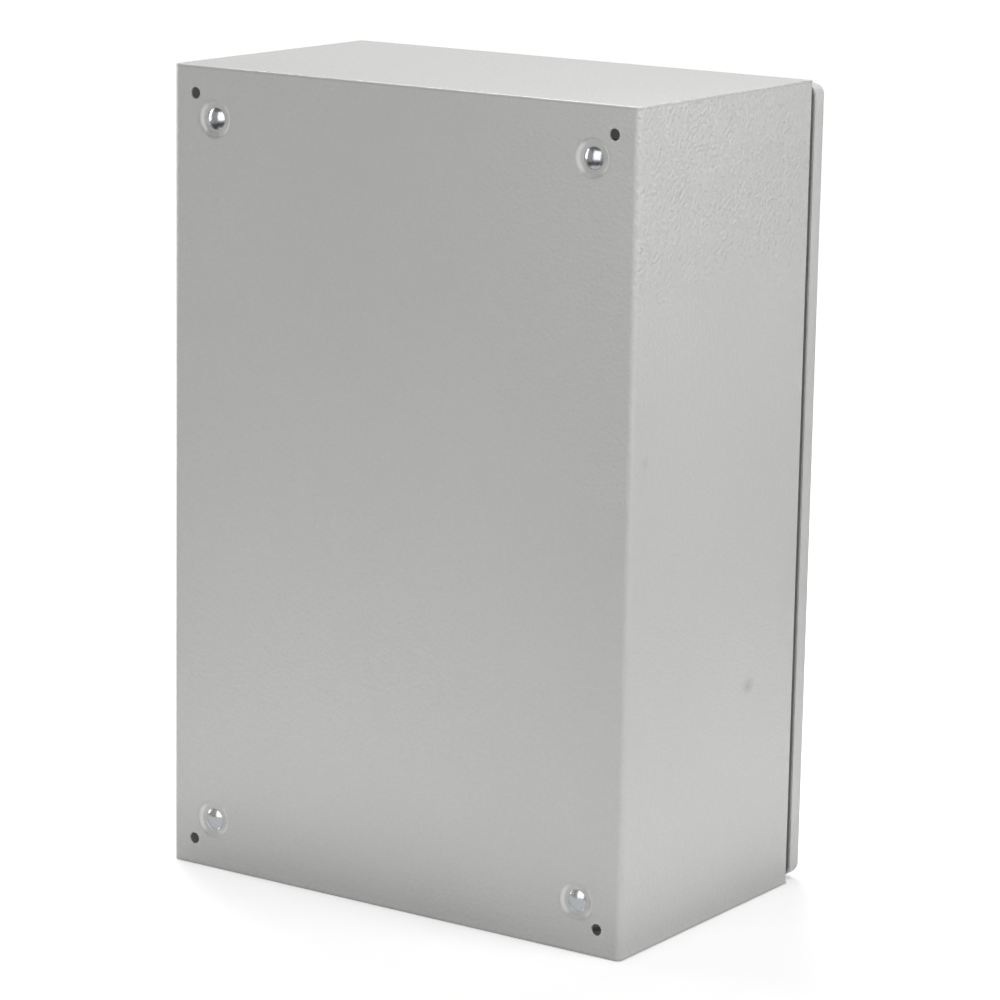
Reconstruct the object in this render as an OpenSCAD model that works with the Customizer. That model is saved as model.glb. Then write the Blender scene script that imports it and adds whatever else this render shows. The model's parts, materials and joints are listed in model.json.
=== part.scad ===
// Wall-mounted sheet-steel enclosure with a right-hung door, a rear mounting plate
// on press-in studs, a gland plate in the base and two quarter-turn locks.
// The front looks along -Y, the rear wall faces +Y, and the base rests on Z = 0.

/* [Enclosure] */
// Overall width
width = 400; // [360:1:800]
// Overall height
height = 600; // [480:1:1200]
// Depth from the rear wall to the face of the door
depth = 250; // [180:1:400]
// Thickness of the body sheet
sheet_t = 1.5; // [1.2:0.1:2]
// Outside radius of the two rear corner bends
rear_bend_r = 4.5; // [3:0.5:8]
// Outside radius of the folds round the door opening
rim_bend_r = 3; // [2.5:0.5:4]
// Width of the return folded inwards round the door opening
return_w = 22; // [20:1:26]
// Height of the sealing lip in front of the return
lip_h = 10; // [6:0.5:11]
// Rounding of the ground edges of the top and bottom panels
edge_r = 1.2; // [0.4:0.1:1.2]

/* [Wall fixing] */
// Diameter of the four holes in the rear wall
wall_hole_d = 8.5; // [6:0.5:9.5]
// Distance of the wall holes from the outer faces
wall_hole_inset = 20; // [17:0.5:21]

/* [Mounting plate] */
// Distance of the plate studs from the outer faces of the body
stud_inset = 37.5; // [36:0.5:45]
// Thread diameter of the plate studs
stud_d = 8; // [6:1:8]
// Diameter of the domed stud head
stud_head_d = 16; // [13:0.5:18]
// Height of the domed stud head
stud_head_h = 2.1; // [1.5:0.1:2.3]
// Diameter of the pressed recess round a stud head
recess_d = 28.6; // [28:0.2:31]
// Diameter of the flat floor of the recess
recess_floor_d = 24; // [22:0.5:24.5]
// Depth of the recess
recess_depth = 2.4; // [2.3:0.1:3.5]
// Rounding of the lip and the root of the recess
recess_r = 1; // [0.5:0.1:1.5]
// Length of the spacer between the rear wall and the plate
spacer_l = 10; // [8:0.5:30]
// Diameter of the spacer
spacer_d = 16; // [12:0.5:18]
// Thickness of the mounting plate
plate_t = 2.5; // [2:0.1:4]
// Distance of the plate's edges from the outer faces of the body
plate_margin = 25; // [24:0.5:26]
// Depth of the folded long edges of the plate
plate_fold = 8; // [5:0.5:10]
// Thread length left beyond each plate nut
stud_spare = 5; // [2:0.5:30]

/* [Base opening] */
// Distance of the base opening from the side walls
gland_margin_x = 65; // [60:1:90]
// Distance of the base opening from the front and the rear of the body
gland_margin_y = 60; // [50:1:65]
// Overlap of the gland plate round the opening
gland_lap = 18; // [16:0.5:22]
// Thickness of the gland plate
gland_t = 2; // [1.5:0.1:4]
// Thickness of the seal under the gland plate
gland_seal_t = 3; // [2:0.5:5]
// Thread diameter of the gland plate studs
gland_stud_d = 6; // [4:1:6]

/* [Door] */
// Distance of the door's top and bottom edges inside those of the body
door_inset = 4; // [2:0.5:6]
// Depth of the folded door flange, measured from the door face
door_flange = 16.2; // [14.5:0.1:17]
// Gap between the body and the door flange
door_gap = 3.8; // [3.4:0.1:4.5]
// Thickness of the door sheet
door_t = 1.5; // [1.2:0.1:2]
// Corner radius of the door seen from the front
door_corner_r = 8; // [7.5:0.5:12]
// Outside radius of the fold between the door face and its flange
door_bend_r = 6; // [5.5:0.5:7]
// Width of the foamed door seal
seal_w = 10; // [8:0.5:12]
// Corner radius of the door seal, on its outer edge
seal_corner_r = 20; // [14:1:40]
// Gap left between the seal and the lip it closes on
seal_gap = 0.3; // [0.1:0.1:1]
// Distance of the two door rails from the outer sides of the door
rail_inset = 92; // [90:1:110]
// Width of a door rail's crown
rail_w = 18; // [14:1:24]
// Height of a door rail's crown above the door
rail_h = 12; // [8:0.5:15]
// Distance of a rail's ends from the top and the bottom of the door
rail_end = 60; // [50:1:90]
// Pitch of the holes along a rail
rail_pitch = 25; // [20:1:50]

/* [Hinges] */
// Distance of a hinge's middle from the top or the bottom of the body
hinge_end = 100; // [70:1:160]
// Distance of the hinge axis from the side of the door
hinge_in = 6.5; // [6.4:0.1:6.8]
// Distance of the hinge axis from the face of the door
hinge_back = 10.5; // [10:0.1:10.8]
// Diameter of the hinge pin
pin_d = 4; // [3:0.5:5]
// Diameter of the hinge knuckles
knuckle_d = 8.4; // [7.8:0.1:8.8]
// Height of each outer knuckle, fixed to the body
ear_h = 8; // [6:0.5:12]
// Height of the middle knuckle, fixed to the door
barrel_h = 20; // [12:0.5:30]
// Radial clearance of the pin in the knuckles
pin_clear = 0.05; // [0.02:0.01:0.1]

/* [Locks] */
// Distance of a lock from the top or the bottom of the door
lock_end = 146; // [120:1:200]
// Distance of the lock axis from the side of the door
lock_inset = 52; // [50:1:56]
// Thread diameter of the lock housing
lock_d = 22; // [20:0.5:24]
// Diameter of the lock's front flange
lock_flange_d = 28; // [27:0.5:32]
// Thickness of the lock's front flange
lock_flange_t = 2.2; // [1.5:0.1:4]
// Thickness of the seal under the lock's flange
lock_seal_t = 0.8; // [0.5:0.1:1.5]
// Reach of the cam from the lock axis to its tip
cam_reach = 38; // [34:0.5:44]
// Width of the cam
cam_w = 16; // [12:0.5:20]
// Thickness of the cam
cam_t = 3; // [2:0.5:4]
// Gap between the latched cam and the return it closes behind
cam_gap = 0.3; // [0.3:0.1:1]

/* [Earthing] */
// Thread diameter of the earth studs
earth_d = 8; // [5:1:8]
// Height of the body's earth stud above the base
earth_z = 166; // [80:1:220]
// Distance of the body's earth stud behind the front of the body
earth_in = 65.5; // [40:0.5:110]

/* [Hidden] */
$fn = 64;

// Small working values
cut = 1;
slip = 0.1;
axial_gap = 0.3;

// Standard nuts and washers, as shares of their thread diameter
NUT_H = 0.8;
NUT_AF = 1.625;
WASHER_D = 2;
WASHER_T = 0.2;
FLANGE_D = 2.2;
WELD_BASE_D = 1.5;
WELD_BASE_T = 0.25;

// Main planes. The box of the whole part, locks included, is centred on Y = 0.
lock_proud = lock_flange_t + lock_seal_t;
y_rear = (depth + lock_proud) / 2;
y_door = y_rear - depth;
y_door_in = y_door + door_t;
y_flange = y_door + door_flange;
y_front = y_flange + door_gap;
y_return_in = y_front + sheet_t;
y_lip = y_front - lip_h;
body_depth = y_rear - y_front;
y_body_mid = (y_rear + y_front) / 2;
lip_x = width / 2 - return_w;

// Mid-line radii of the bends
rim_mid_r = rim_bend_r - sheet_t / 2;
rear_mid_r = rear_bend_r - sheet_t / 2;

// Rear wall recesses and what stands on them
recess_slope = atan2(recess_depth, (recess_d - recess_floor_d) / 2);
boss_grow = sheet_t * tan(recess_slope / 2);
boss_floor_y = y_rear - recess_depth - sheet_t;
plate_y = boss_floor_y - spacer_l - plate_t;
washer_t = stud_d * WASHER_T;
nut_h = stud_d * NUT_H;
nut_af = stud_d * NUT_AF;
washer_d = stud_d * WASHER_D;
stud_x = width / 2 - stud_inset;
stud_z = height / 2 - stud_inset;

// Base opening and gland plate
gland_cut_w = width - 2 * gland_margin_x;
gland_cut_d = body_depth - 2 * gland_margin_y;
gland_w = gland_cut_w + 2 * gland_lap;
gland_d = gland_cut_d + 2 * gland_lap;
gland_corner_r = 8;
gland_nut_h = gland_stud_d * NUT_H;
gland_nut_af = gland_stud_d * NUT_AF;
gland_flange_d = gland_stud_d * FLANGE_D;
gland_flange_t = 1.2;
gland_stud_spare = 2;
gland_bolt_x = gland_cut_w / 2 + gland_lap / 2;
gland_bolt_y = gland_cut_d / 2 + gland_lap / 2;
GLAND_BOLTS = [
    for (x = [-1, 0, 1])
        for (y = [-1, 0, 1])
            if (x != 0 || y != 0) [x * gland_bolt_x, y_body_mid + y * gland_bolt_y]
];

// Door
seal_h = y_lip - seal_gap - y_door_in;
door_h = height - 2 * door_inset;
seal_shift = 1.5;
seal_over = sheet_t / 2 + seal_w / 2 - seal_shift;
seal_out = lip_x + seal_over;
seal_out_z = height / 2 - return_w + seal_over;
seal_edge_r = 3;
rail_t = 1.5;
rail_foot = 9;
rail_z = door_inset + rail_end;
rail_len = door_h - 2 * rail_end;
rail_hole_d = 5;
rail_holes = floor((rail_len - rail_pitch) / rail_pitch);
rail_x = width / 2 - rail_inset;

// Hinges: a welded gooseneck leaf on the body carries the pin
hinge_x = width / 2 - hinge_in;
hinge_y = y_door + hinge_back;
knuckle_r = knuckle_d / 2;
stack_h = barrel_h + 2 * ear_h + 2 * axial_gap;
neck_t = 2;
foot_back = lip_x + rim_bend_r + slip - hinge_x;
foot_front = -hinge_in;
foot_toe = 1.4;
neck_x = -foot_back - foot_toe - neck_t / 2;
foot_t = 2;
leaf_t = 2;
leaf_in = 10.2;
leaf_out = hinge_in - door_bend_r - 2 * slip;
leaf_over = 15;
leaf_h = stack_h + 2 * leaf_over;
leaf_stud_d = 4;
leaf_stud_x = (leaf_out - leaf_in) / 2;
leaf_stud_end = 6;
leaf_stud_z = leaf_h / 2 - leaf_stud_end;
leaf_nut_h = 3.2;
leaf_nut_af = 7;
leaf_stud_spare = 1;
pin_head_step = 1.5;
pin_head_d = pin_d + 2 * pin_head_step;
pin_head_h = 1.6;
pin_tail = 2;
HINGE_Z = [hinge_end, height - hinge_end];

// Locks
lock_x = -(width / 2 - lock_inset);
lock_flat_cut = 1;
lock_flat = lock_d - 2 * lock_flat_cut;
lock_back_y = y_return_in + cam_gap - axial_gap;
cam_y = y_return_in + cam_gap;
lock_nut_h = 5;
lock_bevel = 0.7;
lock_seal_d = lock_flange_d - lock_bevel;
lock_nut_af = lock_seal_d;
well_wall = 3.5;
well_d = lock_d - 2 * well_wall;
well_depth = 9;
rotor_d = 12;
rotor_disc_t = 2;
bit_d = 5;
bit_w = 3;
bit_span = 9.5;
bit_sink = 1;
spindle = 8;
cam_hub_d = 20;
cam_washer_d = 12;
cam_washer_t = 1;
cam_screw_af = 10;
cam_screw_h = 4;
LOCK_Z = [door_inset + lock_end, height - door_inset - lock_end];

// Earth studs
earth_l = 20;
earth_base_d = earth_d * WELD_BASE_D;
earth_base_t = earth_d * WELD_BASE_T;
earth_washer_t = earth_d * WASHER_T;
earth_washer_d = earth_d * WASHER_D;
earth_nut_h = earth_d * NUT_H;
earth_nut_af = earth_d * NUT_AF;
earth_y = y_front + earth_in;
door_earth_from_rail = 40;
door_earth_x = rail_x - door_earth_from_rail;
door_earth_z = 80;
door_earth_l = 16;

// Colours
paint = "#c6c6c3";
zinc = "#c9ced1";
galvanised = "#b4b9bc";
foam = "#3a3b3d";
casting = "#a9abad";

// ---------------------------------------------------------------- helpers

// Quarter of a ring, in the first quadrant
module quarter_ring(r_out, t) {
    difference() {
        intersection() {
            circle(r = r_out);
            square(r_out);
        }
        circle(r = r_out - t);
    }
}

// Section of folded sheet along a path of mid-line points with square turns;
// radii holds the mid-line radius of each bend
module sheet_path(points, t, radii) {
    last = len(points) - 1;
    for (i = [0 : last - 1]) {
        step = points[i + 1] - points[i];
        heading = atan2(step[1], step[0]);
        trim_start = i == 0 ? 0 : radii[i - 1];
        trim_end = i == last - 1 ? 0 : radii[i];
        run = norm(step) - trim_start - trim_end;
        translate(points[i])
            rotate(heading)
                translate([trim_start, -t / 2])
                    square([run, t]);
    }
    for (i = [1 : last - 1]) {
        d_in = (points[i] - points[i - 1]) / norm(points[i] - points[i - 1]);
        d_out = (points[i + 1] - points[i]) / norm(points[i + 1] - points[i]);
        left_turn = d_in[0] * d_out[1] - d_in[1] * d_out[0] > 0;
        heading = atan2(d_in[1], d_in[0]);
        translate(points[i] + (d_out - d_in) * radii[i - 1])
            rotate(left_turn ? heading - 90 : heading)
                quarter_ring(radii[i - 1] + t / 2, t);
    }
}

// What a fillet of radius f adds at a corner whose edges leave it at two angles
module corner_fill(corner, angle_a, angle_b, f) {
    half = abs(angle_a - angle_b) / 2;
    middle = (angle_a + angle_b) / 2;
    reach = f / tan(half);
    centre = corner + f / sin(half) * [cos(middle), sin(middle)];
    difference() {
        polygon([
            corner,
            corner + reach * [cos(angle_a), sin(angle_a)],
            centre,
            corner + reach * [cos(angle_b), sin(angle_b)]
        ]);
        translate(centre) circle(r = f);
    }
}

// Rectangle with round corners, centred
module round_rect(w, h, r) {
    for (x = [-1, 1])
        for (y = [-1, 1])
            translate([x * (w / 2 - r), y * (h / 2 - r)])
                circle(r = r);
    square([w - 2 * r, h], center = true);
    square([w, h - 2 * r], center = true);
}

// Sweeps a section round a rectangle of w by h with corner radius r. The section's
// x is the distance outside the rectangle, never below -r, and its y becomes z.
module sweep_rect(w, h, r) {
    for (side = [0 : 3]) {
        run = side % 2 == 0 ? h : w;
        off = side % 2 == 0 ? w : h;
        rotate(side * 90) {
            translate([off / 2, run / 2 - r, 0])
                rotate([90, 0, 0])
                    linear_extrude(run - 2 * r)
                        children();
            translate([off / 2 - r, run / 2 - r, 0])
                rotate_extrude(angle = 90)
                    translate([r, 0])
                        children();
        }
    }
}

// Hexagon prism standing on z = 0
module hex(af, h) {
    cylinder(r = af / 2 / cos(30), h = h, $fn = 6);
}

// Washer or spacer standing on z = 0
module ring(d_out, d_in, h) {
    difference() {
        cylinder(d = d_out, h = h);
        translate([0, 0, -cut]) cylinder(d = d_in, h = h + 2 * cut);
    }
}

// Nut for thread d standing on z = 0
module nut(af, d, h) {
    difference() {
        hex(af, h);
        translate([0, 0, -cut]) cylinder(d = d + 2 * slip, h = h + 2 * cut);
    }
}

// Points its children's +Z along +Y or -Y
module face_rear() {
    rotate([-90, 0, 0]) children();
}
module face_front() {
    rotate([90, 0, 0]) children();
}

// Plan sections extruded from z0 upwards
module plan(z0, h) {
    translate([0, 0, z0]) linear_extrude(h) children();
}

module at_studs(y) {
    for (x = [-1, 1])
        for (z = [-1, 1])
            translate([x * stud_x, y, height / 2 + z * stud_z])
                children();
}

module at_wall_holes(y) {
    for (x = [-1, 1])
        for (z = [0, 1])
            translate([
                x * (width / 2 - wall_hole_inset), y,
                z * (height - 2 * wall_hole_inset) + wall_hole_inset
            ])
                children();
}

module at_gland_bolts(z) {
    for (p = GLAND_BOLTS)
        translate([p[0], p[1], z])
            children();
}

// ---------------------------------------------------------------- body

// Section of the rear wall, both side walls and their front folds
module wrap_section() {
    side = width / 2 - sheet_t / 2;
    lip = lip_x + sheet_t / 2;
    front = y_front + sheet_t / 2;
    rear = y_rear - sheet_t / 2;
    sheet_path(
        [
            [-lip, y_lip], [-lip, front], [-side, front], [-side, rear],
            [side, rear], [side, front], [lip, front], [lip, y_lip]
        ],
        sheet_t,
        [rim_mid_r, rim_mid_r, rear_mid_r, rear_mid_r, rim_mid_r, rim_mid_r]
    );
}

// Half of the space round the mitred corner of the rim at the foot of one side:
// above = true is the side wall's half, false the end panel's
module rim_mitre(above) {
    inner = width / 2 - sheet_t;
    reach = return_w + cut;
    translate([0, y_front + rim_bend_r, sheet_t])
        rotate([90, 0, 0])
            linear_extrude(rim_bend_r + lip_h + cut)
                for (side = [-1, 1])
                    polygon([
                        [side * inner, 0],
                        [side * (inner - reach), reach],
                        above ? [side * (inner + cut + sheet_t), reach] : [side * (inner - reach), -cut],
                        above ? [side * (inner + cut + sheet_t), 0] : [side * inner, -cut]
                    ]);
}

// Cut of one recess, on the axis, with z = 0 at the wall's outer face
module recess_cut() {
    rim_r = recess_d / 2;
    floor_r = recess_floor_d / 2;
    rotate_extrude() {
        difference() {
            union() {
                polygon([
                    [0, cut], [rim_r, cut], [rim_r, 0],
                    [floor_r, -recess_depth], [0, -recess_depth]
                ]);
                corner_fill([rim_r, 0], 0, recess_slope - 180, recess_r);
            }
            corner_fill([floor_r, -recess_depth], 180, recess_slope, recess_r);
        }
    }
}

// Metal pushed inwards behind one recess
module recess_boss() {
    rim_r = recess_d / 2 + boss_grow;
    floor_r = recess_floor_d / 2 + boss_grow;
    rotate_extrude()
        polygon([
            [0, -sheet_t / 2], [rim_r, -sheet_t / 2], [rim_r, -sheet_t],
            [floor_r, -sheet_t - recess_depth], [0, -sheet_t - recess_depth]
        ]);
}

module shell_wrap() {
    color(paint)
        difference() {
            union() {
                plan(sheet_t, height - 2 * sheet_t) wrap_section();
                at_studs(y_rear) face_rear() recess_boss();
            }
            at_studs(y_rear) face_rear() recess_cut();
            at_studs(boss_floor_y - cut)
                face_rear() cylinder(d = stud_d + 2 * slip, h = sheet_t + 2 * cut);
            at_wall_holes(y_rear - sheet_t - cut)
                face_rear() cylinder(d = wall_hole_d, h = sheet_t + 2 * cut);
            rim_mitre(false);
            translate([0, 0, height]) mirror([0, 0, 1]) rim_mitre(false);
        }
}

// Section of what is ground off an outer edge, r outside the start of the section
module edge_cut(r) {
    difference() {
        translate([r - edge_r, -cut]) square([edge_r + cut, edge_r + cut]);
        translate([r - edge_r, edge_r]) circle(r = edge_r);
    }
}

// Removes what lies outside the rounded rear corners and the ground outer edges
// of an end panel whose outer face is at z = 0
module end_panel_rounding() {
    arc_x = width / 2 - rear_bend_r;
    arc_y = y_rear - rear_bend_r;
    for (m = [0, 1])
        mirror([m, 0, 0]) {
            translate([arc_x, arc_y, 0])
                rotate_extrude(angle = 90) {
                    edge_cut(rear_bend_r);
                    translate([rear_bend_r, -cut]) square([rear_bend_r, sheet_t + 2 * cut]);
                }
            translate([width / 2, arc_y, 0])
                rotate([90, 0, 0])
                    linear_extrude(body_depth)
                        edge_cut(0);
        }
    translate([-arc_x, y_rear, 0])
        rotate([90, 0, 90])
            linear_extrude(2 * arc_x)
                edge_cut(0);
}

// Folded end panel with its outer face at z = 0
module end_panel() {
    lip = return_w - sheet_t / 2;
    front = y_front + sheet_t / 2;
    difference() {
        rotate([90, 0, 90])
            translate([0, 0, -width / 2])
                linear_extrude(width)
                    sheet_path(
                        [
                            [y_lip, lip], [front, lip],
                            [front, sheet_t / 2], [y_rear, sheet_t / 2]
                        ],
                        sheet_t,
                        [rim_mid_r, rim_mid_r]
                    );
        rim_mitre(true);
        end_panel_rounding();
    }
}

module top_panel() {
    color(paint)
        translate([0, 0, height])
            mirror([0, 0, 1])
                end_panel();
}

module bottom_panel() {
    color(paint)
        difference() {
            end_panel();
            translate([0, y_body_mid, 0])
                plan(-cut, sheet_t + 2 * cut)
                    round_rect(gland_cut_w, gland_cut_d, gland_corner_r);
        }
}

// ---------------------------------------------------------------- mounting plate

// Domed stud: the head lies on the recess floor, the shank points inwards
module mounting_studs() {
    head_r = stud_head_d / 2;
    ball_r = (head_r * head_r + stud_head_h * stud_head_h) / (2 * stud_head_h);
    shank = sheet_t + spacer_l + plate_t + washer_t + nut_h + stud_spare;
    color(zinc)
        at_studs(y_rear - recess_depth)
            face_rear() {
                intersection() {
                    translate([0, 0, stud_head_h - ball_r]) sphere(r = ball_r);
                    cylinder(r = head_r + cut, h = stud_head_h + cut);
                }
                translate([0, 0, -shank]) cylinder(d = stud_d, h = shank + slip);
            }
}

module plate_spacers() {
    color(zinc)
        at_studs(boss_floor_y)
            face_front() ring(spacer_d, stud_d + 2 * slip, spacer_l);
}

// Flat plate with its long edges folded towards the rear wall
module mounting_plate() {
    edge = width / 2 - plate_margin - plate_t / 2;
    face = plate_y + plate_t / 2;
    color(galvanised)
        difference() {
            plan(plate_margin, height - 2 * plate_margin)
                sheet_path(
                    [
                        [-edge, plate_y + plate_t + plate_fold], [-edge, face],
                        [edge, face], [edge, plate_y + plate_t + plate_fold]
                    ],
                    plate_t,
                    [plate_t, plate_t]
                );
            at_studs(plate_y - cut)
                face_rear() cylinder(d = stud_d + 1, h = plate_t + 2 * cut);
        }
}

module plate_washers() {
    color(zinc)
        at_studs(plate_y)
            face_front() ring(washer_d, stud_d + 4 * slip, washer_t);
}

module plate_nuts() {
    color(zinc)
        at_studs(plate_y - washer_t)
            face_front() nut(nut_af, stud_d, nut_h);
}

// ---------------------------------------------------------------- base opening

module gland_studs() {
    length = gland_seal_t + gland_t + gland_flange_t + gland_nut_h + gland_stud_spare;
    color(zinc)
        at_gland_bolts(sheet_t)
            cylinder(d = gland_stud_d, h = length);
}

module gland_seal() {
    color(foam)
        difference() {
            translate([0, y_body_mid, 0])
                plan(sheet_t, gland_seal_t)
                    difference() {
                        round_rect(gland_w, gland_d, gland_corner_r);
                        round_rect(gland_cut_w + 2 * slip, gland_cut_d + 2 * slip, gland_corner_r);
                    }
            at_gland_bolts(sheet_t - cut)
                cylinder(d = gland_stud_d + 2 * slip, h = gland_seal_t + 2 * cut);
        }
}

module gland_plate() {
    base = sheet_t + gland_seal_t;
    color(paint)
        difference() {
            translate([0, y_body_mid, 0])
                plan(base, gland_t)
                    round_rect(gland_w, gland_d, gland_corner_r);
            at_gland_bolts(base - cut)
                cylinder(d = gland_stud_d + 6 * slip, h = gland_t + 2 * cut);
        }
}

module gland_nuts() {
    color(zinc)
        at_gland_bolts(sheet_t + gland_seal_t + gland_t) {
            ring(gland_flange_d, gland_stud_d + 2 * slip, gland_flange_t);
            translate([0, 0, gland_flange_t]) nut(gland_nut_af, gland_stud_d, gland_nut_h);
        }
}

// ---------------------------------------------------------------- earthing

// The body's earth stud is welded to the lock-side wall and points inwards
module at_earth(out) {
    translate([-(width / 2 - sheet_t) + out, earth_y, earth_z])
        rotate([0, 90, 0])
            children();
}

module earth_stud() {
    color(zinc) at_earth(0) {
        cylinder(d = earth_base_d, h = earth_base_t);
        cylinder(d = earth_d, h = earth_l);
    }
}

module earth_washer() {
    color(zinc) at_earth(earth_base_t) ring(earth_washer_d, earth_d + 4 * slip, earth_washer_t);
}

module earth_nut() {
    color(zinc) at_earth(earth_base_t + earth_washer_t) nut(earth_nut_af, earth_d, earth_nut_h);
}

module at_door_earth(out) {
    translate([door_earth_x, y_door_in + out, door_earth_z])
        face_rear()
            children();
}

module door_earth_stud() {
    color(zinc) at_door_earth(0) {
        cylinder(d = earth_base_d, h = earth_base_t);
        cylinder(d = earth_d, h = door_earth_l);
    }
}

module door_earth_washer() {
    color(zinc) at_door_earth(earth_base_t) ring(earth_washer_d, earth_d + 4 * slip, earth_washer_t);
}

module door_earth_nut() {
    color(zinc) at_door_earth(earth_base_t + earth_washer_t) nut(earth_nut_af, earth_d, earth_nut_h);
}

// ---------------------------------------------------------------- door

// Section of the door's flange, its fold and the start of its face; x = 0 is the
// outer side, y = 0 the face
module door_edge_section() {
    mid_r = door_bend_r - door_t / 2;
    sheet_path(
        [
            [-door_t / 2, door_flange],
            [-door_t / 2, door_t / 2],
            [-door_corner_r, door_t / 2]
        ],
        door_t,
        [mid_r]
    );
}

// Lock hole: round with two flats, seen from the front
module lock_hole_section(d, flat) {
    intersection() {
        circle(d = d);
        square([flat, d + cut], center = true);
    }
}

// Places children, drawn with +Z into the enclosure, on each lock axis
module at_lock(y, z) {
    translate([lock_x, y, z]) face_rear() children();
}

module door_panel() {
    color(paint)
        difference() {
            translate([0, y_door, height / 2])
                face_rear() {
                    sweep_rect(width, door_h, door_corner_r) door_edge_section();
                    linear_extrude(door_t)
                        square([width - 2 * door_corner_r, door_h - 2 * door_corner_r], center = true);
                }
            for (z = LOCK_Z)
                at_lock(y_door - cut, z)
                    linear_extrude(door_t + 2 * cut)
                        lock_hole_section(lock_d + 4 * slip, lock_flat + 4 * slip);
        }
}

// Foamed seal: a low bead with rounded shoulders, open inside
module door_seal() {
    color(foam)
        translate([0, y_door_in, height / 2])
            face_rear()
                sweep_rect(2 * seal_out, 2 * seal_out_z, seal_corner_r) {
                    translate([-seal_w, 0]) square([seal_w, seal_h - seal_edge_r]);
                    translate([-seal_w + seal_edge_r, 0]) square([seal_w - 2 * seal_edge_r, seal_h]);
                    for (x = [-seal_edge_r, seal_edge_r - seal_w])
                        translate([x, seal_h - seal_edge_r]) circle(r = seal_edge_r);
                }
}

// Perforated hat rail, welded to the door by its two feet
module door_rail(x) {
    low = y_door_in + rail_t / 2;
    high = y_door_in + rail_h - rail_t / 2;
    half = rail_w / 2 - rail_t / 2;
    color(paint)
        difference() {
            translate([x, 0, 0])
                plan(rail_z, rail_len)
                    sheet_path(
                        [
                            [-half - rail_foot, low], [-half, low], [-half, high],
                            [half, high], [half, low], [half + rail_foot, low]
                        ],
                        rail_t,
                        [rail_t, rail_t, rail_t, rail_t]
                    );
            for (i = [0 : rail_holes])
                translate([
                    x, y_door_in + rail_h / 2,
                    height / 2 + (i - rail_holes / 2) * rail_pitch
                ])
                    face_rear() cylinder(d = rail_hole_d, h = rail_h);
        }
}

module door_rail_hinge_side() {
    door_rail(rail_x);
}

module door_rail_lock_side() {
    door_rail(-rail_x);
}

// ---------------------------------------------------------------- hinges

// Plan section of the gooseneck that carries an outer knuckle; the axis is at 0, 0
module gooseneck_section() {
    difference() {
        union() {
            circle(r = knuckle_r);
            translate([-neck_x - neck_t / 2, -neck_t / 2]) square([neck_x + neck_t / 2, neck_t]);
            gooseneck_foot();
        }
        circle(r = pin_d / 2 + pin_clear);
    }
}

// Leg of the gooseneck and its foot, which is welded to the return
module gooseneck_foot() {
    front = y_front - hinge_y;
    translate([foot_back, front - foot_t]) square([foot_front - foot_back, foot_t]);
    translate([-neck_x - neck_t / 2, -neck_t / 2]) square([neck_t, front + neck_t / 2]);
}

module hinge_frame_leaf(z) {
    color(zinc)
        translate([hinge_x, hinge_y, z]) {
            plan(-stack_h / 2, ear_h) gooseneck_section();
            plan(stack_h / 2 - ear_h, ear_h) gooseneck_section();
            plan(-stack_h / 2, stack_h) gooseneck_foot();
        }
}

module upper_hinge_frame_leaf() {
    hinge_frame_leaf(HINGE_Z[1]);
}

module lower_hinge_frame_leaf() {
    hinge_frame_leaf(HINGE_Z[0]);
}

// Captive pin with a flat head on the upper knuckle
module hinge_pin(z) {
    color(zinc)
        translate([hinge_x, hinge_y, z]) {
            translate([0, 0, -stack_h / 2 - pin_tail])
                cylinder(d = pin_d, h = stack_h + pin_tail + slip);
            translate([0, 0, stack_h / 2]) cylinder(d = pin_head_d, h = pin_head_h);
        }
}

module upper_hinge_pin() {
    hinge_pin(HINGE_Z[1]);
}

module lower_hinge_pin() {
    hinge_pin(HINGE_Z[0]);
}

// Leaf on the door: a plate on two studs with the middle knuckle
module hinge_door_leaf(z) {
    back = y_door_in - hinge_y;
    color(zinc)
        difference() {
            translate([hinge_x, hinge_y, z]) {
                translate([-leaf_in, back, -leaf_h / 2]) cube([leaf_out + leaf_in, leaf_t, leaf_h]);
                plan(-barrel_h / 2, barrel_h) {
                    circle(r = knuckle_r);
                    translate([-knuckle_r, back + leaf_t / 2])
                        square([knuckle_r + leaf_out, -back - leaf_t / 2]);
                }
            }
            translate([hinge_x, hinge_y, z - barrel_h / 2 - cut])
                cylinder(r = pin_d / 2 + pin_clear, h = barrel_h + 2 * cut);
            at_hinge_studs(z, y_door_in - cut)
                cylinder(d = leaf_stud_d + 4 * slip, h = leaf_t + 2 * cut);
        }
}

module at_hinge_studs(z, y) {
    for (s = [-1, 1])
        translate([hinge_x + leaf_stud_x, y, z + s * leaf_stud_z])
            face_rear()
                children();
}

module upper_hinge_door_leaf() {
    hinge_door_leaf(HINGE_Z[1]);
}

module lower_hinge_door_leaf() {
    hinge_door_leaf(HINGE_Z[0]);
}

module hinge_studs() {
    color(zinc)
        for (z = HINGE_Z)
            at_hinge_studs(z, y_door_in)
                cylinder(d = leaf_stud_d, h = leaf_t + leaf_nut_h + leaf_stud_spare);
}

module hinge_nuts() {
    color(zinc)
        for (z = HINGE_Z)
            at_hinge_studs(z, y_door_in + leaf_t)
                rotate(30) nut(leaf_nut_af, leaf_stud_d, leaf_nut_h);
}

// ---------------------------------------------------------------- locks

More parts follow.
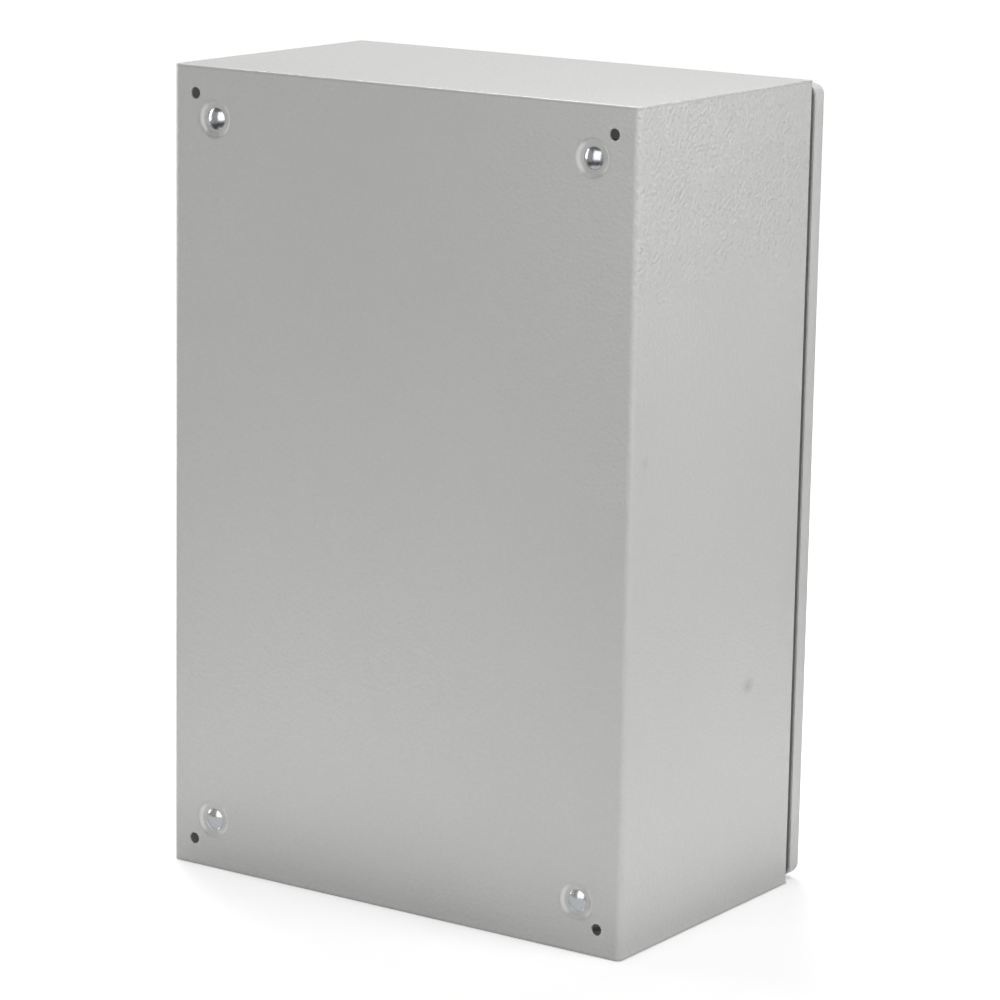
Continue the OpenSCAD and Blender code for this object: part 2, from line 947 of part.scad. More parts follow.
// Flange, flatted body and front well; +Z points into the enclosure
module lock_housing(z) {
    front = y_door - lock_proud;
    body = lock_back_y - front;
    color(casting)
        at_lock(front, z)
            difference() {
                union() {
                    cylinder(
                        d1 = lock_flange_d - 2 * lock_bevel, d2 = lock_flange_d, h = lock_bevel
                    );
                    translate([0, 0, lock_bevel])
                        cylinder(d = lock_flange_d, h = lock_flange_t - lock_bevel);
                    linear_extrude(body) lock_hole_section(lock_d, lock_flat);
                }
                translate([0, 0, -cut]) cylinder(d = well_d, h = well_depth + cut);
                cylinder(d = rotor_d + 2 * slip, h = body + cut);
            }
}

module upper_lock_housing() {
    lock_housing(LOCK_Z[1]);
}

module lower_lock_housing() {
    lock_housing(LOCK_Z[0]);
}

module lock_seals() {
    color(foam)
        for (z = LOCK_Z)
            at_lock(y_door - lock_seal_t, z)
                ring(lock_seal_d, lock_d + 2 * slip, lock_seal_t);
}

module lock_nuts() {
    color(zinc)
        for (z = LOCK_Z)
            at_lock(y_door_in, z)
                nut(lock_nut_af, lock_d, lock_nut_h);
}

// Rotor with its two-bit post in the well, and the square spindle for the cam
module lock_insert(z) {
    front = y_door - lock_proud;
    disc_y = front + well_depth - rotor_disc_t;
    color(zinc)
        at_lock(disc_y, z) {
            cylinder(d = well_d - 4 * slip, h = rotor_disc_t - slip);
            cylinder(d = rotor_d, h = cam_y - disc_y - axial_gap);
            translate([0, 0, rotor_disc_t - well_depth + bit_sink]) {
                cylinder(d = bit_d, h = well_depth - rotor_disc_t);
                translate([-bit_span / 2, -bit_w / 2, 0])
                    cube([bit_span, bit_w, well_depth - rotor_disc_t]);
            }
            translate([-spindle / 2, -spindle / 2, 0]) cube([spindle, spindle, cam_y + cam_t - disc_y]);
        }
}

module upper_lock_insert() {
    lock_insert(LOCK_Z[1]);
}

module lower_lock_insert() {
    lock_insert(LOCK_Z[0]);
}

// Cam hanging straight down, which is its unlatched position
module lock_cam(z) {
    color(zinc)
        at_lock(cam_y, z)
            linear_extrude(cam_t)
                difference() {
                    union() {
                        circle(d = cam_hub_d);
                        translate([-cam_w / 2, 0]) square([cam_w, cam_reach - cam_w / 2]);
                        translate([0, cam_reach - cam_w / 2]) circle(d = cam_w);
                    }
                    square(spindle + 2 * slip, center = true);
                }
}

module upper_lock_cam() {
    lock_cam(LOCK_Z[1]);
}

module lower_lock_cam() {
    lock_cam(LOCK_Z[0]);
}

module cam_screw(z) {
    color(zinc)
        at_lock(cam_y + cam_t, z) {
            cylinder(d = cam_washer_d, h = cam_washer_t);
            translate([0, 0, cam_washer_t]) hex(cam_screw_af, cam_screw_h);
        }
}

module upper_cam_screw() {
    cam_screw(LOCK_Z[1]);
}

module lower_cam_screw() {
    cam_screw(LOCK_Z[0]);
}

// ---------------------------------------------------------------- nodes

shell_wrap();
top_panel();
bottom_panel();
mounting_studs();
plate_spacers();
mounting_plate();
plate_washers();
plate_nuts();
gland_studs();
gland_seal();
gland_plate();
gland_nuts();
earth_stud();
earth_washer();
earth_nut();
upper_hinge_frame_leaf();
upper_hinge_pin();
lower_hinge_frame_leaf();
lower_hinge_pin();
door_panel();
door_seal();
door_rail_hinge_side();
door_rail_lock_side();
upper_hinge_door_leaf();
lower_hinge_door_leaf();
hinge_studs();
hinge_nuts();
door_earth_stud();
door_earth_washer();
door_earth_nut();
upper_lock_housing();
lower_lock_housing();
lock_seals();
lock_nuts();
upper_lock_insert();
upper_lock_cam();
upper_cam_screw();
lower_lock_insert();
lower_lock_cam();
lower_cam_screw();
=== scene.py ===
import bpy, bmesh, json, math
from mathutils import Matrix, Vector

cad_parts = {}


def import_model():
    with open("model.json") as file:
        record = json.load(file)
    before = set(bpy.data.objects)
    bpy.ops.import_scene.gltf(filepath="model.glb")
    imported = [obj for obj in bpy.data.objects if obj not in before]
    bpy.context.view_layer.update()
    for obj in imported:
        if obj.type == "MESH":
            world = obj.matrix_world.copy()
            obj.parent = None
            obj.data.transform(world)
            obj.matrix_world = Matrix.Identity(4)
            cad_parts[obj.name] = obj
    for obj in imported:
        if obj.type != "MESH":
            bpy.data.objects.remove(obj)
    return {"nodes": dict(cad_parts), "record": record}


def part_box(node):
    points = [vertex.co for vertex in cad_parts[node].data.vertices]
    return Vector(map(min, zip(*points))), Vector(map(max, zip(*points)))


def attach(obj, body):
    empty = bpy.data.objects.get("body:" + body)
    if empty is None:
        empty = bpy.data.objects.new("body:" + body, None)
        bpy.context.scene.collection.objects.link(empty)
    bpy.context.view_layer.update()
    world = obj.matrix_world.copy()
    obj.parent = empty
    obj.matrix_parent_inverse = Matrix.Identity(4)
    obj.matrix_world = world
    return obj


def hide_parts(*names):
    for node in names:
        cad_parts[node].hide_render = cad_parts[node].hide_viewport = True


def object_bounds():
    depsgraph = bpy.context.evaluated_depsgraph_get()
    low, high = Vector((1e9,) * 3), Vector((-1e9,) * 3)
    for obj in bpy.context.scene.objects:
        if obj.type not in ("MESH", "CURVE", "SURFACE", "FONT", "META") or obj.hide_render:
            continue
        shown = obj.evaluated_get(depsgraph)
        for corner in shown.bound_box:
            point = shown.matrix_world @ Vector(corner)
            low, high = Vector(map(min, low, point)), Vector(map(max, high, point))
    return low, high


# Lengths are in metres. The rear wall faces +Y, the door -Y, and the locks are on the -X side.

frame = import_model()
CAD_LO, CAD_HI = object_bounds()
NODES = frame["nodes"]
WRAP_LO, WRAP_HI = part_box("shell_wrap")
TOP_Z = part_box("top_panel")[1].z
MID_Z = (CAD_LO.z + TOP_Z) / 2
SHEET = WRAP_LO.z
WHITE = (1, 1, 1, 1)


# ------------------------------------------------------------------ node helpers

def srgb(r, g, b):
    """A linear colour from 0-255 display values."""
    def lin(c):
        c /= 255.0
        return c / 12.92 if c <= 0.04045 else ((c + 0.055) / 1.055) ** 2.4
    return (lin(r), lin(g), lin(b), 1.0)


class Tree:
    """Short names for building one material's nodes."""

    def __init__(self, name):
        self.mat = bpy.data.materials.new(name)
        self.mat.use_nodes = True
        self.nodes = self.mat.node_tree.nodes
        self.links = self.mat.node_tree.links
        self.bsdf = self.nodes["Principled BSDF"]
        self.pos = self.nodes.new("ShaderNodeTexCoord").outputs["Object"]

    def put(self, socket, value):
        if isinstance(value, bpy.types.NodeSocket):
            self.links.new(value, socket)
        else:
            socket.default_value = value

    def math(self, op, a, b=0.0):
        n = self.nodes.new("ShaderNodeMath")
        n.operation = op
        self.put(n.inputs[0], a)
        self.put(n.inputs[1], b)
        return n.outputs[0]

    def times(self, first, *others):
        for other in others:
            first = self.math("MULTIPLY", first, other)
        return first

    def apart(self, a, b):
        """Distance between two numbers."""
        return self.math("ABSOLUTE", self.math("SUBTRACT", a, b))

    def vector_math(self, op, a, b=None):
        n = self.nodes.new("ShaderNodeVectorMath")
        n.operation = op
        self.put(n.inputs[0], a)
        if b is not None:
            self.put(n.inputs[1], b)
        return n.outputs["Value" if op == "LENGTH" else "Vector"]

    def noise(self, scale, detail=2.0, rough=0.5, stretch=None):
        n = self.nodes.new("ShaderNodeTexNoise")
        n.inputs["Scale"].default_value = scale
        n.inputs["Detail"].default_value = detail
        n.inputs["Roughness"].default_value = rough
        vector = self.pos
        if stretch:
            m = self.nodes.new("ShaderNodeMapping")
            m.inputs["Scale"].default_value = stretch
            self.links.new(self.pos, m.inputs["Vector"])
            vector = m.outputs["Vector"]
        self.links.new(vector, n.inputs["Vector"])
        return n.outputs["Fac"]

    def voronoi(self, scale, out):
        n = self.nodes.new("ShaderNodeTexVoronoi")
        n.inputs["Scale"].default_value = scale
        self.links.new(self.pos, n.inputs["Vector"])
        return n.outputs[out]

    def ramp(self, value, start, end, at_start=0.0, at_end=1.0):
        """Smooth step from one level to another while the value goes from start to end."""
        n = self.nodes.new("ShaderNodeMapRange")
        n.interpolation_type = "SMOOTHSTEP"
        self.put(n.inputs["Value"], value)
        n.inputs["From Min"].default_value = start
        n.inputs["From Max"].default_value = end
        n.inputs["To Min"].default_value = at_start
        n.inputs["To Max"].default_value = at_end
        return n.outputs["Result"]

    def mix(self, fac, a, b):
        n = self.nodes.new("ShaderNodeMix")
        n.data_type = "RGBA"
        self.put(n.inputs[0], fac)
        self.put(n.inputs[6], a)
        self.put(n.inputs[7], b)
        return n.outputs[2]

    def axes(self):
        n = self.nodes.new("ShaderNodeSeparateXYZ")
        self.links.new(self.pos, n.inputs[0])
        return n.outputs

    def spot(self, centre, radius, stretch=(1, 1, 1)):
        """1 at a place on the object, falling to 0 at the radius."""
        away = self.vector_math("MULTIPLY", self.vector_math("SUBTRACT", self.pos, centre), stretch)
        return self.ramp(self.vector_math("LENGTH", away), radius, 0.0)

    def bump(self, *layers):
        """Layers of (height socket, strength, distance in metres), one over the other."""
        normal = None
        for height, strength, distance in layers:
            n = self.nodes.new("ShaderNodeBump")
            self.put(n.inputs["Strength"], strength)
            n.inputs["Distance"].default_value = distance
            self.links.new(height, n.inputs["Height"])
            if normal:
                self.links.new(normal, n.inputs["Normal"])
            normal = n.outputs["Normal"]
        self.links.new(normal, self.bsdf.inputs["Normal"])

    def set(self, **values):
        for key, value in values.items():
            self.put(self.bsdf.inputs[key.replace("_", " ").title().replace("Ior", "IOR")], value)


# ------------------------------------------------------------------ materials

CLOUD_BAND = (0.3, 0.7)    # where a noise passes from one tint to the other
INSIDE_LIGHT = 0.03        # emission that makes the shut box dark grey, seen through its holes
PEEL_HEIGHT = 0.003        # orange peel at full strength
PEEL_PLAIN, PEEL_COARSE = 0.2, 0.6    # strength all over, and at the top of the lock-side wall


def between_walls(t):
    """1 on faces between the four walls and in front of the rear one, 0 elsewhere."""
    x, y, z = t.axes()
    skin = SHEET * 0.9
    inside = t.ramp(y, WRAP_HI.y - skin, WRAP_HI.y - SHEET)
    for axis, low, high in ((x, WRAP_LO.x, WRAP_HI.x), (z, CAD_LO.z, TOP_Z)):
        half = (high - low) / 2
        inside = t.times(inside, t.ramp(t.apart(axis, (low + high) / 2), half - skin, half - SHEET))
    return inside


def light_inside(t):
    """Faint light of the faces between the walls."""
    t.set(emission_color=WHITE, emission_strength=t.times(between_walls(t), INSIDE_LIGHT))


def drawn_recess(t):
    """Bump height that makes each recess flank the soft draw of a press tool, and a mask of the flank's left
    and right sides, where a painted highlight lightens the coat."""
    # distances from the rim of the stud's head, and from the outer face of the wall
    draw_from, draw_to, draw_depth = 0.0002, 0.0058, 0.002
    near_full, near_end = 0.0078, 0.0088
    ring_start, ring_from, ring_to, ring_end = 0.0022, 0.0042, 0.0052, 0.0062
    wall_skin, wall_end = 0.004, 0.0045
    x, y, z = t.axes()
    lo, hi = islands("mounting_studs")[0]
    stud = (lo + hi) / 2
    head = (hi.x - lo.x) / 2
    across = t.math("SUBTRACT", t.math("ABSOLUTE", x), abs(stud.x))
    along = t.math("SUBTRACT", t.apart(z, MID_Z), abs(stud.z - MID_Z))
    r = t.math("SQRT", t.math("ADD", t.times(across, across), t.times(along, along)))
    rear = t.ramp(y, WRAP_HI.y - wall_end, WRAP_HI.y - wall_skin)
    drawn = t.ramp(r, head + draw_from, head + draw_to, -draw_depth, 0.0)
    height = t.math("ADD", drawn, t.math("SUBTRACT", WRAP_HI.y, y))
    near = t.times(t.ramp(r, head + near_end, head + near_full), rear)
    # ring on each recess flank, kept to its left and right sides, that carries the painted highlight
    ring = t.times(t.ramp(r, head + ring_start, head + ring_from), t.ramp(r, head + ring_end, head + ring_to))
    sideways = t.math("DIVIDE", t.math("ABSOLUTE", across), t.math("ADD", r, 0.0001))
    return t.times(height, near), t.times(ring, t.ramp(sideways, 0.45, 0.85), rear)


def marks_and_painted_light(t, colour, recess_highlight):
    """Marks in the coat's colour of the welded body: painted highlights on the recess flanks, darker weld
    joints, a painted shadow along the foot of the walls and two darker spots on the lock-side wall.
    """
    pale, weld, foot_shadow = srgb(232, 232, 229), srgb(126, 127, 122), srgb(110, 110, 106)
    stud_spot_tint, rear_spot_tint = srgb(120, 122, 122), srgb(130, 131, 130)
    x, y, z = t.axes()
    # painted highlight: the left and right flanks of each recess are lightened towards pale grey, as light
    # catching them would
    colour = t.mix(t.times(recess_highlight, 0.8), colour, pale)
    # welded joints of the end panels, filled over by the coat
    for level in (TOP_Z - SHEET, SHEET):
        colour = t.mix(t.ramp(t.apart(z, level), 0.0007, 0.0002, 0.0, 0.22), colour, weld)
    # painted shadow: a dark line along the foot of the walls, where the object meets the floor
    colour = t.mix(t.ramp(z, CAD_LO.z + 0.0012, CAD_LO.z + 0.0004, 0.0, 0.4), colour, foot_shadow)
    # two soft darker spots on the lock-side wall, one over the stud behind it and one near the wall's rear
    # edge
    stud_lo, stud_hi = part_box("earth_stud")
    stud_spot = Vector((WRAP_LO.x, (stud_lo.y + stud_hi.y) / 2, (stud_lo.z + stud_hi.z) / 2))
    rear_spot = Vector((WRAP_LO.x, WRAP_HI.y - 0.017, 0.354))
    colour = t.mix(t.times(t.spot(stud_spot, 0.0105, (1, 1, 1.25)), 0.34), colour, stud_spot_tint)
    return t.mix(t.times(t.spot(rear_spot, 0.007), 0.15), colour, rear_spot_tint)


def coarse_wall(t):
    """Strength of the peel, which grows towards the top of the lock-side wall."""
    grows_from, full_at = 0.33, 0.58
    x, y, z = t.axes()
    wall = t.ramp(x, WRAP_LO.x + 0.004, WRAP_LO.x + 0.001)
    return t.ramp(t.times(wall, t.ramp(z, grows_from, full_at)), 0.0, 1.0, PEEL_PLAIN, PEEL_COARSE)


def powder_coat(name, body=False):
    """Light grey textured powder coat: orange peel, fine speckle, faint clouding; on the welded body also the
    recess bumps, marks, and painted highlight and shadow.
    """
    t = Tree(name)
    peel = t.noise(330.0, 1.5, 0.45)
    grain = t.noise(1150.0)
    cloud = t.noise(3.2)
    colour = t.mix(t.ramp(cloud, *CLOUD_BAND), srgb(197, 197, 195), srgb(200, 200, 198))
    colour = t.mix(t.ramp(grain, 0.45, 0.75, 0.0, 0.26), colour, srgb(166, 167, 164))
    layers = [(grain, 0.5, 0.00014)]
    strength = PEEL_PLAIN
    if body:
        draw, recess_highlight = drawn_recess(t)
        colour = marks_and_painted_light(t, colour, recess_highlight)
        layers.append((draw, 1.0, 1.0))
        strength = coarse_wall(t)
    layers.append((peel, strength, PEEL_HEIGHT))
    t.set(base_color=colour, specular_ior_level=0.5, roughness=t.ramp(grain, 0.25, 0.75, 0.26, 0.34))
    light_inside(t)
    t.bump(*layers)
    return t.mat


def zinc_plate(name, roughness):
    """Bright zinc: near mirror, faint blue and straw clouds, fine handling marks."""
    t = Tree(name)
    tint = t.noise(70.0)
    scuff = t.noise(900.0, 3.0, 0.6, (1.0, 0.25, 1.0))
    colour = t.mix(t.ramp(tint, *CLOUD_BAND), srgb(214, 218, 222), srgb(218, 219, 217))
    t.set(base_color=colour, metallic=1.0,
          roughness=t.ramp(scuff, 0.3, 0.75, roughness * 0.7, roughness * 1.7))
    t.bump((scuff, 0.12, 0.00004))
    return t.mat


def galvanised_sheet(name):
    """Hot-dip galvanised sheet with a soft spangle."""
    t = Tree(name)
    grey = t.nodes.new("ShaderNodeRGBToBW")
    t.links.new(t.voronoi(110.0, "Color"), grey.inputs[0])
    spangle = grey.outputs[0]
    colour = t.mix(t.ramp(spangle, 0.2, 0.8), srgb(182, 186, 188), srgb(200, 203, 204))
    t.set(base_color=colour, metallic=1.0, roughness=t.ramp(spangle, 0.1, 0.9, 0.33, 0.43))
    t.bump((spangle, 0.08, 0.0001), (t.noise(1500.0), 0.1, 0.00003))
    return t.mat


def sealing_foam(name):
    """Foamed-in-place seal: matt dark skin with closed pores and flow waves."""
    t = Tree(name)
    pores = t.voronoi(1300.0, "Distance")
    waves = t.noise(60.0)
    colour = t.mix(t.ramp(waves, *CLOUD_BAND), srgb(40, 41, 43), srgb(54, 55, 57))
    t.set(base_color=colour, roughness=0.82, specular_ior_level=0.3)
    light_inside(t)
    t.bump((pores, 0.5, 0.0002), (waves, 0.4, 0.0008))
    return t.mat


def die_casting(name):
    """Zinc die casting, tumbled to a satin skin."""
    t = Tree(name)
    grain = t.noise(1400.0, 3.0, 0.6)
    cloud = t.noise(120.0)
    colour = t.mix(t.ramp(cloud, *CLOUD_BAND), srgb(168, 171, 173), srgb(186, 188, 189))
    t.set(base_color=colour, metallic=1.0, roughness=t.ramp(grain, 0.3, 0.7, 0.3, 0.48))
    t.bump((grain, 0.3, 0.00008))
    return t.mat


def dress_frame():
    """Gives each CAD node its material, and returns the materials by name."""
    made = {
        "grey_powder_coat": powder_coat("grey_powder_coat"),
        "zinc_plate": zinc_plate("zinc_plate", 0.24),
        "galvanised_sheet": galvanised_sheet("galvanised_sheet"),
        "sealing_foam": sealing_foam("sealing_foam"),
        "die_casting": die_casting("die_casting"),
        "body_powder_coat": powder_coat("body_powder_coat", body=True),
        "bright_zinc": zinc_plate("bright_zinc", 0.17),
    }
    special = {
        "body_powder_coat": ("shell_wrap", "top_panel", "bottom_panel"),
        "bright_zinc": ("mounting_studs", "plate_spacers"),
    }
    chosen = {part["node"]: part["material_slot"] for part in frame["record"]["subparts"]}
    for name, nodes in special.items():
        for node in nodes:
            chosen[node] = name
    for node, name in chosen.items():
        slots = NODES[node].data.materials
        slots.clear()
        slots.append(made[name])
    return made


# ------------------------------------------------------------------ threaded parts

PITCH_M8, PITCH_M6, PITCH_M4 = 0.00125, 0.001, 0.0007
# bore of a nut as a share of its width across flats
BORE_M8, BORE_M4, BORE_LOCK = 0.63, 0.6, 0.813
SHANK_OF_BASE = 0.667    # a welded stud's shank as a share of its base
HEX_SIDES, ROUND_SIDES, THREAD_SIDES = 48, 48, 28    # points round nuts, heads and threads


def islands(node):
    """Boxes of a node's separate solids, from its own mesh."""
    mesh = NODES[node].data
    keys, parent = [], {}
    for v in mesh.vertices:
        key = tuple(round(c * 1e6) for c in v.co)
        keys.append(key)
        parent.setdefault(key, key)

    def root(k):
        while parent[k] != k:
            parent[k] = parent[parent[k]]
            k = parent[k]
        return k

    for e in mesh.edges:
        a, b = root(keys[e.vertices[0]]), root(keys[e.vertices[1]])
        if a != b:
            parent[a] = b
    groups = {}
    for v, key in zip(mesh.vertices, keys):
        groups.setdefault(root(key), []).append(v.co)
    boxes = []
    for points in groups.values():
        lo = Vector([min(q[i] for q in points) for i in range(3)])
        hi = Vector([max(q[i] for q in points) for i in range(3)])
        boxes.append((lo, hi))
    return sorted(boxes, key=lambda b: (round(b[0].z, 4), round(b[0].x, 4), round(b[0].y, 4)))


def main_axis(axis):
    return max(range(3), key=lambda k: abs(axis[k]))


def standing(lo, hi, axis):
    """Matrix whose +Z runs along the axis from the solid's foot, with its length and radius."""
    axis = Vector(axis)
    i = main_axis(axis)
    middle = (lo + hi) / 2
    middle[i] = lo[i] if axis[i] > 0 else hi[i]
    side = hi[(i + 1) % 3] - lo[(i + 1) % 3]
    turn = axis.to_track_quat("Z", "Y").to_matrix().to_4x4()
    return Matrix.Translation(middle) @ turn, hi[i] - lo[i], side / 2


def rings(bm, matrix, profile, count, shape=None):
    """Skins rings of vertices, given as (radius, height) points; shape may change them by angle."""
    rows = []
    for r, z in profile:
        row = []
        for k in range(count):
            a = 2 * math.pi * k / count
            rr, zz = shape(r, z, a) if shape else (r, z)
            row.append(bm.verts.new(matrix @ Vector((rr * math.cos(a), rr * math.sin(a), zz))))
        rows.append(row)
    for low, high in zip(rows, rows[1:]):
        for k in range(count):
            n = (k + 1) % count
            bm.faces.new((low[k], low[n], high[n], high[k]))
    return rows


def thread(bm, matrix, start, end, radius, pitch):
    """Threaded shank with a chamfered, closed end."""
    depth = 0.55 * pitch
    flat = 0.1              # width of crest and root as a share of half a pitch
    chamfer = 0.8           # slope of the end over the last pitch
    steps_per_turn = 6
    steps = max(8, int((end - start) / pitch * steps_per_turn))
    profile = [(radius, start + (end - start) * i / steps) for i in range(steps + 1)]

    def cut(r, z, a):
        phase = (z / pitch - a / (2 * math.pi)) % 1.0
        tooth = abs(2 * phase - 1)
        tooth = min(1.0, max(0.0, (tooth - flat) / (1 - 2 * flat)))
        point = max(0.0, z - (end - pitch)) * chamfer
        return min(r - depth * tooth, r - point), z

    rows = rings(bm, matrix, profile, THREAD_SIDES, cut)
    bm.faces.new(rows[-1])


def hex_body(bm, matrix, across, height, bore=0.0, base=0.0):
    """Hexagon with chamfered corners, on a base height, with a countersunk bore."""
    flat = across / 2
    face = flat * 0.97       # radius of the turned face
    slope = 0.58             # drop of the corners, as a 30 degree chamfer has it
    sink = 0.0003            # countersink of the bore
    top, low = base + height, base

    def shape(r, z, a):
        if r <= face + 1e-9:
            return r, z
        off = (a + math.pi / 6) % (math.pi / 3) - math.pi / 6
        corner = flat / math.cos(off)
        drop = (corner - flat) * slope
        return corner, z - drop if z > base + height / 2 else z + drop

    profile = [(face, low), (flat, low), (flat, top), (face, top)]
    if bore:
        profile = [(bore, low + sink), (bore + sink, low), *profile, (bore + sink, top), (bore, top - sink)]
    rows = rings(bm, matrix, profile, HEX_SIDES, shape)
    if bore:
        for k in range(HEX_SIDES):
            n = (k + 1) % HEX_SIDES
            bm.faces.new((rows[-1][k], rows[-1][n], rows[0][n], rows[0][k]))
    else:
        bm.faces.new(rows[-1])
        bm.faces.new(list(reversed(rows[0])))


def piece(name, node, body, make, material):
    """One mesh piece that stands for a CAD node, made over each of its solids."""
    mesh = bpy.data.meshes.new(name)
    bm = bmesh.new()
    for lo, hi in islands(node):
        make(bm, lo, hi)
    bmesh.ops.recalc_face_normals(bm, faces=bm.faces)
    bm.to_mesh(mesh)
    bm.free()
    mesh.polygons.foreach_set("use_smooth", [True] * len(mesh.polygons))
    mesh.set_sharp_from_angle(angle=math.radians(32))
    mesh.materials.append(material)
    obj = bpy.data.objects.new(name, mesh)
    bpy.context.scene.collection.objects.link(obj)
    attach(obj, body)
    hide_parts(node)


def domed_stud(bm, lo, hi):
    """Press-in stud: rolled, domed head on the outside and a threaded shank inside."""
    matrix, length, radius = standing(lo, hi, (0, -1, 0))
    head, edge, neck = 0.0021, 0.00035, 0.002
    shank = radius / 2
    ball = (radius * radius + head * head) / (2 * head)
    steps = 14
    profile = [(0.00002, 0.0)]
    for i in range(1, steps + 1):
        r = (radius - edge) * i / steps
        profile.append((r, ball - math.sqrt(ball * ball - r * r)))
    profile += [(radius - edge * 0.4, head - edge * 0.9), (radius - edge * 0.1, head - edge * 0.45)]
    profile += [(radius, head), (shank, head)]
    rings(bm, matrix, profile, ROUND_SIDES)
    rings(bm, matrix, [(shank, head), (shank, head + neck)], THREAD_SIDES)
    thread(bm, matrix, head + neck, length, shank, PITCH_M8)


def plain_stud(pitch, axis):
    def make(bm, lo, hi):
        matrix, length, radius = standing(lo, hi, axis)
        thread(bm, matrix, 0.0, length, radius, pitch)
    return make


def based_stud(axis):
    """M8 stud on a wider welded base."""
    def make(bm, lo, hi):
        matrix, length, base = standing(lo, hi, axis)
        radius = base * SHANK_OF_BASE
        foot = radius * 0.5
        rings(bm, matrix, [(base, 0.0), (base, foot * 0.6), (base * 0.94, foot), (radius, foot)], 40)
        thread(bm, matrix, foot, length, radius, PITCH_M8)
    return make


def plain_nut(axis, share):
    """Nut whose bore is a share of its width across flats."""
    def make(bm, lo, hi):
        matrix, height, _ = standing(lo, hi, axis)
        i = main_axis(axis)
        across = min((hi - lo)[k] for k in range(3) if k != i)
        hex_body(bm, turned(matrix, lo, hi, i), across, height, across * share / 2)
    return make


def turned(matrix, lo, hi, i):
    """Turns a hexagon so that its corners point the way the solid's box is widest."""
    others = [k for k in range(3) if k != i]
    wide = max(others, key=lambda k: hi[k] - lo[k])
    local = matrix.to_3x3().inverted() @ Vector([1.0 if k == wide else 0.0 for k in range(3)])
    corner = math.atan2(local.y, local.x)
    return matrix @ Matrix.Rotation(corner - math.pi / 6, 4, "Z")


def flange_nut(bm, lo, hi):
    matrix, height, flange = standing(lo, hi, (0, 0, 1))
    bore, foot, across = 0.00312, 0.0012, 0.00975
    profile = [(bore, 0.0), (flange, 0.0), (flange, foot * 0.5), (flange * 0.8, foot), (bore, foot)]
    rings(bm, matrix, profile, ROUND_SIDES)
    hex_body(bm, matrix, across, height - foot, bore, foot)


def cam_screw(bm, lo, hi):
    """Hexagon head on its washer."""
    matrix, height, washer = standing(lo, hi, (0, 1, 0))
    foot, across = 0.001, 0.01
    rings(bm, matrix, [(0.0001, 0.0), (washer, 0.0), (washer, foot), (washer * 0.5, foot)], ROUND_SIDES)
    hex_body(bm, matrix @ Matrix.Rotation(math.pi / 6, 4, "Z"), across, height - foot, 0.0, foot)


def fasteners(made):
    """Threaded pieces in the place of the plain CAD ones."""
    zinc, bright = made["zinc_plate"], made["bright_zinc"]
    to_hinges, up, to_front, to_rear = (1, 0, 0), (0, 0, 1), (0, -1, 0), (0, 1, 0)
    piece("domed_studs", "mounting_studs", "enclosure", domed_stud, bright)
    piece("gland_stud_threads", "gland_studs", "enclosure", plain_stud(PITCH_M6, up), zinc)
    piece("gland_flange_nuts", "gland_nuts", "enclosure", flange_nut, zinc)
    piece("plate_hex_nuts", "plate_nuts", "enclosure", plain_nut(to_front, BORE_M8), zinc)
    piece("earth_stud_thread", "earth_stud", "enclosure", based_stud(to_hinges), zinc)
    piece("earth_hex_nut", "earth_nut", "enclosure", plain_nut(to_hinges, BORE_M8), zinc)
    piece("door_earth_stud_thread", "door_earth_stud", "door", based_stud(to_rear), zinc)
    piece("door_earth_hex_nut", "door_earth_nut", "door", plain_nut(to_rear, BORE_M8), zinc)
    piece("hinge_stud_threads", "hinge_studs", "door", plain_stud(PITCH_M4, to_rear), zinc)
    piece("hinge_hex_nuts", "hinge_nuts", "door", plain_nut(to_rear, BORE_M4), zinc)
    piece("lock_hex_nuts", "lock_nuts", "door", plain_nut(to_rear, BORE_LOCK), zinc)
    for level in ("upper", "lower"):
        piece(level + "_cam_screw_head", level + "_cam_screw", level + "_lock", cam_screw, zinc)


# ------------------------------------------------------------------ studio

# name, place from the object's middle, size, power in watts
LAMPS = (
    ("left_softbox", (2.25, 0.4, 0.5), (1.2, 1.5), 22.0),
    ("front_softbox", (0.2, 2.3, 0.5), (1.5, 1.7), 10.5),
    ("right_softbox", (-1.8, -1.8, 0.8), (0.8, 1.5), 3.6),
    ("overhead", (0.0, 0.2, 2.2), (1.8, 1.8), 8.0),
    ("overhead_left", (0.9, -0.9, 2.0), (1.2, 1.2), 42.0),
    ("overhead_right", (-1.0, 0.1, 1.3), (0.6, 0.6), 9.5),
    ("corner_spot", (-0.7, 0.35, 0.8), (0.35, 0.35), 2.0),
    ("low_strip", (-1.9, 0.6, -0.05), (0.9, 0.4), 7.2),
)
# lamps so near the rear wall's plane that their reflection would bleach it from the side
DIFFUSE_ONLY = ("corner_spot", "low_strip")
# light that the table top sends up, which gloss does not show: place, size, power as above
TABLE_GLOW = (
    ("rear_bounce", (0.0, 0.35, 0.01), (0.5, 0.3), 0.4),
    ("side_bounce", (-0.4, 0.0, 0.01), (0.3, 0.4), 0.3),
)
WORLD_LEVEL = 0.02
FLOOR_DROP, TABLE_DROP = 0.0002, 0.0001    # how far below the object's foot they lie

# the camera as the photograph's edges give it
CAMERA_PLACE = (-1.6491, 2.41087, 0.91487)
CAMERA_RIGHT = (-0.82406682, -0.56623058, 0.01722817)
CAMERA_UP = (0.13366869, -0.16480228, 0.97722714)
CAMERA_BACK = (-0.55049665, 0.80760333, 0.21149538)
FOCAL_MM, SENSOR_MM = 145.865, 36.0


